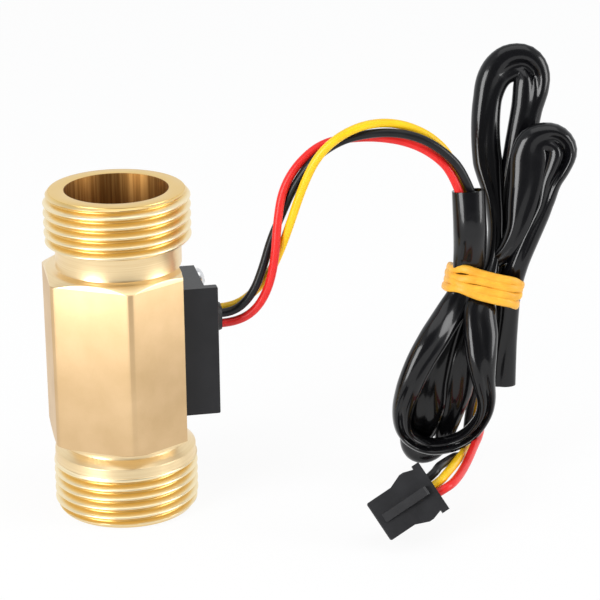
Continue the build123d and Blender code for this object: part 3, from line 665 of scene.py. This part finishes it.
# fmt: off
# each wire's control points in millimetres: leads from the grommet, tails from the plug, to the sleeve
WIRES = {
    "lead_red": [
        (18.4, 0.0, 33.7), (21.2, 0.0, 33.7), (24.7, -1.2, 36.1), (27.0, -2.0, 40.5), (28.2, -2.2, 46.2),
        (28.8, -1.6, 52.8), (30.0, -0.6, 58.5), (32.9, 0.0, 63.0), (37.5, 0.2, 66.6), (43.0, -0.3, 67.4),
        (48.2, -1.0, 67.3), (53.2, -2.5, 66.4), (57.3, -3.9, 64.3), (60.6, -4.8, 60.9), (62.5, -4.3, 55.6),
    ],
    "lead_black": [
        (18.4, -0.1, 35.7), (21.0, -0.1, 35.7), (24.2, -1.1, 39.3), (26.2, -0.6, 43.9), (27.8, 0.2, 48.7),
        (29.8, 0.1, 53.4), (32.2, -0.4, 59.1), (35.6, -1.2, 64.1), (40.1, -1.8, 67.3), (45.0, -2.6, 68.6),
        (50.1, -3.9, 68.9), (54.7, -4.9, 67.8), (59.0, -5.3, 65.0), (62.5, -5.0, 61.1), (64.7, -4.4, 55.6),
    ],
    "lead_yellow": [
        (18.4, 1.5, 36.2), (21.3, 1.5, 36.2), (25.3, 1.1, 39.2), (27.7, 0.4, 42.5), (29.6, -0.8, 47.4),
        (31.3, -1.6, 52.7), (33.1, -2.3, 58.6), (35.5, -3.2, 64.5), (38.9, -3.8, 68.2), (43.4, -3.6, 70.3),
        (48.1, -2.8, 70.6), (52.8, -2.6, 69.6), (57.4, -2.9, 67.1), (61.1, -3.1, 62.9), (63.7, -2.9, 55.6),
    ],
    "tail_red": [
        (50.19, -29.72, 8.48), (53.0, -29.7, 10.0), (55.0, -28.3, 10.3), (57.8, -23.5, 10.0), (60.7, -17.7, 9.8),
        (63.5, -11.5, 9.7), (65.7, -6.9, 9.6), (67.2, -3.1, 10.2), (68.5, -1.1, 12.2), (68.9, -0.4, 15.2),
        (69.3, -0.3, 18.5),
    ],
    "tail_yellow": [
        (49.73, -28.31, 9.17), (52.6, -28.2, 10.8), (54.1, -26.6, 11.4), (56.3, -22.8, 11.0), (58.9, -17.5, 10.1),
        (61.4, -11.6, 8.5), (63.0, -6.9, 6.9), (64.7, -4.0, 6.4), (66.7, -1.8, 6.9), (67.1, 0.1, 9.2),
        (67.4, 1.4, 12.1), (68.0, 1.6, 15.4), (68.6, 1.5, 18.5),
    ],
    "tail_black": [
        (49.26, -26.89, 9.85), (52.0, -26.6, 11.8), (53.2, -24.9, 12.3), (55.2, -21.5, 11.4), (57.6, -16.2, 9.6),
        (60.1, -10.5, 7.5), (61.7, -6.4, 5.7), (63.3, -4.1, 4.7), (64.7, -1.9, 5.2), (65.3, -0.1, 7.9),
        (65.7, 0.3, 11.0), (66.2, 0.1, 14.6), (67.3, 0.0, 18.5),
    ],
}
# the sleeve's stations in millimetres: u, z, d, width that shows, thickness away from the viewer, and the lengthwise
# fold's depth as a share of that, where it isn't the usual one
USUAL_FOLD = 0.14
STATIONS = [
    (4.5, 57.1, -3.3, 6.0, 4.4, 0.0), (4.7, 53.6, -3.7, 6.1, 5.2, 0.0), (4.9, 49.6, -4.2, 6.2, 5.8, 0.05),
    (5.0, 43.8, -2.9, 6.0, 3.2, 0.1), (4.4, 37.8, -2.7, 5.4, 3.0), (1.7, 34.0, -3.7, 5.6, 3.6),
    (-1.7, 30.2, -7.8, 5.7, 4.2), (-4.4, 26.0, -9.2, 5.3, 4.2), (-6.4, 21.2, -9.6, 4.8, 4.4),
    (-7.8, 16.0, -8.8, 3.8, 4.8, 0.4), (-7.2, 11.0, -7.3, 3.0, 5.0, 0.5), (-3.3, 7.8, -6.2, 2.7, 5.2, 0.45),
    (1.1, 8.0, -6.2, 2.7, 5.2, 0.4), (4.8, 10.1, -6.9, 2.7, 5.2, 0.45), (7.3, 13.9, -8.0, 2.8, 5.0, 0.5),
    (8.2, 17.8, -8.8, 3.4, 4.8, 0.45), (7.4, 21.9, -9.1, 4.3, 4.6, 0.35), (6.9, 26.5, -8.6, 5.7, 4.2),
    (6.9, 30.6, -7.2, 6.4, 4.0), (6.7, 34.5, -4.9, 6.0, 3.8), (7.6, 37.9, -2.2, 4.4, 3.8), (9.4, 41.9, 0.6, 3.0, 3.8),
    (10.2, 47.4, 3.0, 2.8, 4.0), (9.9, 53.2, 5.1, 3.6, 4.0), (8.7, 59.2, 6.9, 5.5, 4.0), (8.3, 65.2, 8.5, 5.4, 4.2),
    (8.7, 71.0, 10.1, 5.4, 4.2), (10.0, 75.0, 11.2, 6.3, 4.4), (12.6, 77.1, 11.7, 7.2, 3.8, 0.5),
    (15.6, 77.2, 11.8, 7.2, 3.6, 0.7), (17.2, 75.1, 11.2, 6.8, 3.8, 0.8), (16.8, 72.2, 10.4, 6.7, 4.0, 0.5),
    (16.1, 69.1, 9.7, 5.9, 4.0), (15.4, 65.5, 8.8, 5.7, 3.8), (14.3, 61.4, 7.9, 5.1, 3.8),
    (13.1, 55.0, 6.6, 4.6, 3.8), (11.8, 47.8, 5.0, 4.4, 3.8), (10.6, 41.0, 3.4, 4.4, 3.8), (9.2, 36.5, 1.8, 4.4, 3.8),
    (6.1, 30.8, -1.1, 4.8, 4.0), (4.0, 24.9, -2.8, 6.0, 4.2), (2.6, 17.8, -2.8, 6.6, 4.2),
    (1.1, 11.3, -1.5, 5.2, 4.2), (0.6, 5.5, 0.0, 3.0, 4.4), (-2.9, 2.9, 0.4, 3.0, 4.4), (-5.9, 5.2, -0.7, 3.8, 4.2),
    (-4.4, 9.6, -2.3, 7.0, 4.0), (-2.7, 15.3, -3.8, 7.4, 3.8), (-2.0, 20.5, -4.4, 6.3, 3.8),
    (-0.7, 25.3, -3.9, 5.9, 3.8), (1.4, 30.6, -2.1, 5.0, 3.8), (4.6, 36.2, 1.0, 4.4, 3.8), (8.7, 41.3, 1.5, 3.6, 3.6),
    (12.1, 44.0, 0.4, 3.6, 3.6), (14.1, 48.2, 0.4, 4.4, 3.6), (15.0, 52.8, 1.2, 5.9, 3.8),
    (15.9, 57.3, 2.2, 6.9, 4.0), (16.2, 61.3, 3.1, 7.5, 4.2), (16.9, 64.0, 3.7, 6.7, 4.4, 0.1),
    (18.8, 64.9, 4.0, 5.9, 4.6, 0.2), (21.0, 64.5, 3.8, 5.9, 4.6, 0.6), (22.3, 62.5, 3.4, 5.9, 4.6, 0.85),
    (21.1, 59.3, 2.7, 5.1, 4.2, 0.7), (19.8, 56.9, 2.3, 4.3, 3.8, 0.4), (19.0, 52.7, 1.6, 3.4, 3.8),
    (16.9, 48.0, 0.9, 3.6, 3.8), (14.2, 42.3, -0.5, 3.8, 3.8), (12.6, 36.6, 0.2, 4.4, 3.6),
    (12.3, 30.2, 1.4, 4.6, 3.4), (11.9, 24.0, 2.0, 5.0, 3.2), (11.8, 17.0, 2.2, 5.2, 3.2, 0.1),
]
# fmt: on


@dataclass
class Wiring:
    """The leads and tails: round insulated wires.

    Args:
        radius: half the insulation's diameter.
    """

    radius: float = 0.8 * MM

    def build(self, materials: Materials) -> None:
        for name, points in WIRES.items():
            route = Route(points)
            piece = route.curve("wire_" + name, self.radius)
            slot = name.split("_")[1] + "_wire"
            materials.dress(piece, slot)
            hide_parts(name)
            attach(piece, "meter")
            length = float(hops(route.line(name + "_line")).sum())
            log.info("%s: %.1f mm of wire", name, length / MM)


# ---- the folded sleeve


@dataclass
class Bundle:
    """The sleeve's frame: u runs to the right in the bundle's plane, d away from the viewer.

    Args:
        origin_mm: the place where u, z and d are 0.
        turn: degrees that d turns from +Y towards +X.
    """

    origin_mm: Triple = (60.0, 0.0, 0.0)
    turn: float = 11.3

    def axes(self) -> tuple[np.ndarray, np.ndarray]:
        """The directions of u and d."""
        across, ahead = cos(radians(self.turn)), sin(radians(self.turn))
        return np.array([across, -ahead, 0.0]), np.array([ahead, across, 0.0])

    def place(self, u: np.ndarray, z: np.ndarray, d: np.ndarray) -> np.ndarray:
        """Turns u, z and d in millimetres into row-frame millimetres."""
        u, z, d = (np.asarray(v, dtype=float)[..., None] for v in (u, z, d))
        right, away = self.axes()
        return np.array(self.origin_mm) + u * right + d * away + z * UP


@dataclass
class Sleeve:
    """The soft glossy sleeve, folded into two lower and two upper loops. Lengths are in millimetres.

    Args:
        bundle: the frame of the stations.
        wall: thickness of the tube's wall.
        around, step: points round a section, and distance between sections.
        power: how square a section is, 1 for an ellipse.
        crease: the lengthwise fold's width, as a share of the section's.
        sway, sway_rate: how far the fold wanders to each side, and its radians per millimetre.
        well: sections of the inner wall that each open end shows.
        size: the tube's diameter; not used.
    """

    bundle: Bundle
    wall: float = 0.4
    around: int = 56
    step: float = 0.7
    power: float = 0.9
    crease: float = 0.28
    sway: float = 0.25
    sway_rate: float = 0.21
    well: int = 8
    size: float = 5.2

    def build(self, materials: Materials) -> None:
        """Builds the tube.

        At the angle a round a section of width w and thickness t, a point lies x w / 2 across and y t / 2 away from
        the viewer, with x = sign(cos a) |cos a|^power and y = sin a (1 - fold e^-((x - sway) / crease)^2). So a fold
        sinks a line along each of the two broad sides.
        """
        u, z, d, *sizes = np.array([(*station, USUAL_FOLD)[:6] for station in STATIONS]).T
        line = Route(self.bundle.place(u, z, d).tolist()).line("sleeve_line") / MM
        travelled = np.concatenate([[0.0], np.cumsum(hops(line))])
        even = np.linspace(0.0, travelled[-1], int(travelled[-1] / self.step))
        middle = np.stack([np.interp(even, travelled, line[:, k]) for k in range(3)], axis=1)
        # a station acts at an even step of the spline's own parameter
        spans = len(u) - 2
        knots = (np.arange(len(u)) - 0.5).clip(0, spans) / spans
        places = np.interp(knots, np.linspace(0.0, 1.0, len(travelled)), travelled)
        width, thick, fold = (np.interp(even, places, size) for size in sizes)
        along = unit(np.gradient(middle, axis=0))
        across = unit(np.cross(along, self.bundle.axes()[1]))
        out = np.cross(across, along)
        angle = np.linspace(0.0, 2 * pi, self.around, endpoint=False)
        x = power_circle(angle, self.power)[0]
        sway = self.sway * np.cos(even[:, None] * self.sway_rate)
        dent = np.exp(-(((x - sway) / self.crease) ** 2))
        y = np.sin(angle) * (1.0 - fold[:, None] * dent)
        shell = sweep(middle, across, out, x * width[:, None] / 2, y * thick[:, None] / 2)
        # each open end shows a short stretch of the inner wall, closed by a fan
        inside = middle[:, None] + (shell - middle[:, None]) * (1.0 - 2 * self.wall / thick)[:, None, None]
        start, end = (np.repeat(middle[row][None, None], self.around, axis=1) for row in (self.well, -self.well - 1))
        rows = np.concatenate([start, inside[self.well :: -1], shell, inside[: -self.well - 1 : -1], end])
        faces = grid_faces(len(rows), self.around)
        piece = mesh_piece("sleeve_tube", rows.reshape(-1, 3) * MM, faces[:, ::-1], 60.0)
        materials.dress(piece, "sleeve")
        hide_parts("cable_sleeve")
        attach(piece, "meter")
        log.info("sleeve: %.0f mm", travelled[-1])


@dataclass
class RubberBand:
    """Strands of a rubber band, wound side by side round the sleeve's waist. Lengths are in millimetres.

    Args:
        bundle: the frame of the centre.
        centre: u and z of the band's middle.
        tilt, pitch: degrees that its axis leans to the right and away from the viewer.
        width, depth: the waist's size.
        square, slack: how square the waist is, 2 for an ellipse, and the gap between it and the strands.
        strands, strand, thickness: number of strands, their height and thickness.
        spacing: distance between strands, as a share of their height.
        edge: how square a strand's section is, 1 for an ellipse.
        waves, swell: how far a strand strays along its axis, in a long and a short wave, and swells, as a share.
        around, ring: points along a strand and round its section.
    """

    bundle: Bundle
    centre: Pair = (7.75, 37.8)
    tilt: float = 14.5
    pitch: float = 15.0
    width: float = 12.1
    depth: float = 10.4
    square: float = 3.2
    slack: float = 0.12
    strands: int = 4
    strand: float = 1.6
    thickness: float = 1.15
    spacing: float = 0.79
    edge: float = 0.85
    waves: Pair = (0.26, 0.14)
    swell: float = 0.12
    around: int = 160
    ring: int = 20

    def build(self, materials: Materials) -> None:
        """Builds the strands.

        A strand's line is a superellipse |x / a|^square + |y / b|^square = 1, and its section a rounded flat.
        """
        turn, section = (np.linspace(0.0, 2 * pi, count, endpoint=False) for count in (self.around, self.ring))
        right, away = self.bundle.axes()
        lean, nod = radians(self.tilt), radians(self.pitch)
        axis = right * sin(lean) + UP * cos(lean)
        side = right * cos(lean) - UP * sin(lean)
        axis, away = axis * cos(nod) + away * sin(nod), away * cos(nod) - axis * sin(nod)
        a, b = (size / 2 + self.thickness * 0.5 + self.slack for size in (self.width, self.depth))
        x, y = power_circle(turn, 2.0 / self.square)
        x, y = a * x, b * y
        out = unit(x[:, None] / a**2 * side + y[:, None] / b**2 * away)
        flat, rise = power_circle(section, self.edge)
        course = self.bundle.place(*self.centre, 0.0) + x[:, None] * side + y[:, None] * away
        rows = []
        faces = []
        for strand in range(self.strands):
            shift = (strand - (self.strands - 1) / 2) * self.strand * self.spacing
            wave = self.waves[0] * np.sin(2 * turn + 1.7 * strand) + self.waves[1] * np.sin(5 * turn + 2.1 * strand)
            swell = 1.0 + self.swell * np.sin(3 * turn + strand * 2.4)
            line = course + (shift + wave)[:, None] * axis
            thick = flat * self.thickness / 2 * swell[:, None]
            rings = sweep(line, out, np.broadcast_to(axis, line.shape), thick, rise * self.strand / 2)
            faces.append(grid_faces(self.around, self.ring, wrap_rows=True) + strand * self.around * self.ring)
            rows.append(rings.reshape(-1, 3))
        piece = mesh_piece("band_strands", np.concatenate(rows) * MM, np.concatenate(faces)[:, ::-1], 60.0)
        materials.dress(piece, "band")
        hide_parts("rubber_band")
        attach(piece, "meter")


# ---- brass body


@dataclass
class BrassBody:
    """The brass body with cut threads. Lengths are in millimetres and heights start at the lower end.

    Args:
        length: the body's height.
        thread_radius, thread_depth, pitch: the threads' outer radius, depth and rise per turn.
        end_radius, end_chamfer: radius of the end faces, and height of the cone up to the thread.
        lower_run, upper_run: heights of a crest in front, of the thread's start and of its end.
        lower_thread, upper_thread: heights where the lower thread ends and where the upper neck does.
        entry_rise: rise per radius of the cone under the upper thread.
        land_radius, land_top: radius and top of the land above the lower thread.
        lower_neck, neck_radius: height where the lower neck starts, and radius of both necks.
        hex_base, hex_top: heights of the hexagon's faces.
        across_flats, corner_radius: distance between flats, and radius of the turned corners.
        lower_face, lower_rise, upper_face, upper_rise: where a face's chamfer starts, and its rise per radius.
        seat: the milled flat's distance from the axis.
        bore: radius and height of the bore's corners, from the top down.
        reaches, reach: rounding of the corners from the land to the upper neck, and of the others.
        corner_steps, row_step, columns_round: points per corner, height between rows, number of even columns.
        narrow: angle from the seat's edges to the extra columns beside them.
    """

    length: float = 60.8
    thread_radius: float = 13.22
    end_radius: float = 12.15
    end_chamfer: float = 1.35
    thread_depth: float = 1.16
    pitch: float = 1.814
    lower_run: Triple = (9.61, 0.6, 9.3)
    upper_run: Triple = (51.83, 51.6, 60.4)
    lower_thread: float = 10.0
    upper_thread: float = 51.0
    entry_rise: float = 0.3
    land_radius: float = 12.95
    land_top: float = 11.7
    lower_neck: float = 13.0
    neck_radius: float = 11.35
    hex_base: float = 14.05
    hex_top: float = 46.8
    across_flats: float = 26.5
    corner_radius: float = 15.05
    lower_face: float = 12.2
    upper_face: float = 12.95
    lower_rise: float = tan(radians(22.0))
    upper_rise: float = tan(radians(30.0))
    seat: float = 10.2
    bore: tuple[Pair, ...] = (
        (9.3, 60.8),  # upper mouth
        (9.3, 48.5),
        (8.8, 48.0),  # chamber, with the retaining ring's groove
        (8.8, 46.0),
        (9.35, 46.0),
        (9.35, 45.0),
        (8.8, 45.0),
        (8.8, 14.0),
        (8.0, 14.0),  # ledge and waterway
        (8.0, 10.3),
        (9.3, 9.0),  # lower mouth
        (9.3, 0.0),
    )
    reaches: tuple[float, ...] = (0.1, 0.25, 0.5, 0.25, 0.2, 0.15, 0.15, 0.2, 0.3, 0.25)
    reach: float = 0.1
    corner_steps: int = 3
    row_step: float = 0.1
    columns_round: int = 192
    narrow: float = 0.004

    def columns(self) -> np.ndarray:
        """Angles of the columns: even ones, and more at the hexagon's corners and the seat's edges."""
        even = np.linspace(-pi, pi, self.columns_round, endpoint=False)
        half = np.arccos(self.across_flats / 2 / self.corner_radius)
        corners = np.radians(np.arange(-150.0, 180.0, 60.0))
        extra = (corners[:, None] + (pi / 6 - half) * np.array([-1.15, -0.85, -0.4, 0.0, 0.4, 0.85, 1.15])).ravel()
        seat = np.arctan2((self.across_flats / 2 - self.seat * 0.5) / cos(radians(30.0)), self.seat)
        beside = [seat, seat - self.narrow, seat + self.narrow]
        extra = np.concatenate([extra, beside, np.negative(beside)])
        kept = even[np.min(np.abs(even[:, None] - extra[None, :]), axis=1) > self.narrow]
        return np.sort(np.concatenate([kept, extra]))

    def hexagon(self, angle: np.ndarray) -> np.ndarray:
        """Radius of the hexagon at an angle: the least of flats / 2 / cos, the corner radius and the seat's flat."""
        from_face = np.abs((angle + pi / 6) % (pi / 3) - pi / 6)
        radius = np.minimum(self.across_flats / 2 / np.cos(from_face), self.corner_radius)
        facing = np.cos(angle)
        return np.where(facing > 0.1, np.minimum(radius, self.seat / np.maximum(facing, 0.1)), radius)

    def thread(self, angle: np.ndarray, height: np.ndarray, run: Triple) -> np.ndarray:
        """Radius of the thread.

        The phase is (height - crest) / pitch less a turn per turn of the angle, and the surface sinks by
        depth (1 - cos(2 pi phase)) / 2, whose steepest flanks match the thread's 27.5 degrees.

        Args:
            angle: (1, columns) angles.
            height: (rows, 1) heights.
            run: heights of a crest at the front of the body, and of the thread's start and end.

        Returns:
            (rows, columns) radii.
        """
        crest, low, high = run
        phase = (height - crest) / self.pitch - (angle + pi / 2) / (2 * pi)
        sink = (1.0 - np.cos(2 * pi * phase)) / 2
        fade = smoothstep(low - 0.9, low + 0.5, height) * (1.0 - smoothstep(high - 0.5, high + 0.9, height))
        return self.thread_radius - self.thread_depth * sink * fade

    def lower_end(self, angle: np.ndarray, height: np.ndarray) -> np.ndarray:
        """Radius of the lower end: the thread, cut off by the cone at its start."""
        cone = self.end_radius + (self.thread_radius - self.end_radius) * height / self.end_chamfer
        return np.minimum(self.thread(angle, height, self.lower_run), cone)

    def upper_end(self, angle: np.ndarray, height: np.ndarray) -> np.ndarray:
        """Radius of the upper end: the thread, cut off by a cone at the top and a steep one above the neck."""
        cone = self.end_radius + (self.thread_radius - self.end_radius) * (self.length - height) / self.end_chamfer
        entry = self.neck_radius + (height - self.upper_thread) / self.entry_rise
        return np.minimum(self.thread(angle, height, self.upper_run), np.minimum(cone, entry))

    @staticmethod
    def thread_normals(shape: Callable, angle: np.ndarray, height: np.ndarray) -> np.ndarray:
        """Exact normals of a surface r(angle, height) about Z: (r cos + r' sin, r sin - r' cos, -r r_z), to length 1.

        Args:
            shape: gives the radius for (1, columns) angles and (rows, 1) heights.
            angle: (columns,) angles.
            height: (rows,) heights.

        Returns:
            (rows, columns, 3) normals.
        """
        a, z, step = angle[None, :], height[:, None], 0.004
        r = shape(a, z)
        turn = (shape(a + step, z) - shape(a - step, z)) / (2 * step)
        climb = (shape(a, z + step) - shape(a, z - step)) / (2 * step)
        return unit(np.stack([r * np.cos(a) + turn * np.sin(a), r * np.sin(a) - turn * np.cos(a), -r * climb], axis=2))

    def build(self, materials: Materials) -> None:
        """Builds the body as one closed surface: bore, lower end, outside and upper end."""
        angle = self.columns()
        ones = np.ones_like(angle)
        hexagon = self.hexagon(angle)
        low_z = self.hex_base + np.maximum(hexagon - self.lower_face, 0.05) * self.lower_rise
        high_z = self.hex_top - np.maximum(hexagon - self.upper_face, 0.05) * self.upper_rise
        outer = (
            (self.land_radius, self.lower_thread),
            (self.land_radius, self.land_top),
            (self.neck_radius, self.lower_neck),
            (self.neck_radius, self.hex_base),
            (np.minimum(hexagon, self.lower_face), self.hex_base),
            (hexagon, low_z),
            (hexagon, high_z),
            (np.minimum(hexagon, self.upper_face), self.hex_top),
            (self.neck_radius, self.hex_top),
            (self.neck_radius, self.upper_thread),
        )
        # a corner's radius and height are the same in every column, or an array of their own
        above, inner = (
            [np.stack([radius * ones, height * ones], axis=1) for radius, height in corners]
            for corners in (outer, self.bore)
        )
        low_rows = np.arange(0.0, self.lower_thread, self.row_step)
        high_rows = np.arange(self.upper_thread + 0.5, self.length + 0.001, self.row_step)
        lower_end, upper_end = (
            np.stack(np.broadcast_arrays(shape(angle[None, :], heights[:, None]), heights[:, None]), axis=2)
            for shape, heights in ((self.lower_end, low_rows), (self.upper_end, high_rows))
        )
        chain = np.stack([upper_end[-1], *inner, lower_end[0], lower_end[-1], *above, upper_end[0]])
        offset = 1 + len(inner) + 2
        sizes = np.full(len(chain), self.reach)
        sizes[offset : offset + len(above)] = self.reaches
        rounded = round_corners(chain, sizes, self.corner_steps).reshape(len(chain), -1, len(angle), 2)
        inside = rounded[: 1 + len(inner) + 1].reshape(-1, len(angle), 2)
        outside = rounded[offset:-1].reshape(-1, len(angle), 2)
        profile = np.concatenate([inside[:-1], lower_end[1:-1], outside, upper_end[:-1]])
        radius, height = np.moveaxis(profile, 2, 0)
        points = np.stack([radius * np.cos(angle), radius * np.sin(angle), height], axis=2)
        rows, columns = radius.shape
        faces = grid_faces(rows, columns, wrap_rows=True)
        piece = mesh_piece("body_shell", points.reshape(-1, 3) * MM, faces, 22.0)
        # the threads' shading is exact, and a normal of zero leaves the rest as it is
        normals = np.zeros((rows, columns, 3))
        first = len(inside) - 1
        normals[first : first + len(low_rows) - 2] = self.thread_normals(self.lower_end, angle, low_rows[1:-1])
        normals[rows - len(high_rows) + 1 :] = self.thread_normals(self.upper_end, angle, high_rows[:-1])
        index = np.empty(len(piece.data.loops), dtype=np.int32)
        piece.data.loops.foreach_get("vertex_index", index)
        piece.data.normals_split_custom_set(normals.reshape(-1, 3)[index].tolist())
        materials.dress(piece, "brass")
        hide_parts("brass_body")
        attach(piece, "meter")
        log.info("body: %d faces", len(faces))


# ---- pieces that stay as the CAD made them


def dress_nodes(frame: dict, materials: Materials) -> None:
    for entry in frame["record"]["subparts"]:
        piece = frame["nodes"][entry["node"]]
        materials.dress(piece, entry["material_slot"])


def main() -> None:
    """Builds the scene in order."""
    logging.basicConfig(level=logging.INFO, format="%(message)s")
    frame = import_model()
    build_groups()
    materials = Materials()
    Studio().build()
    dress_nodes(frame, materials)
    Wiring().build(materials)
    bundle = Bundle()
    Sleeve(bundle).build(materials)
    RubberBand(bundle).build(materials)
    BrassBody().build(materials)


if __name__ == "__main__":
    main()
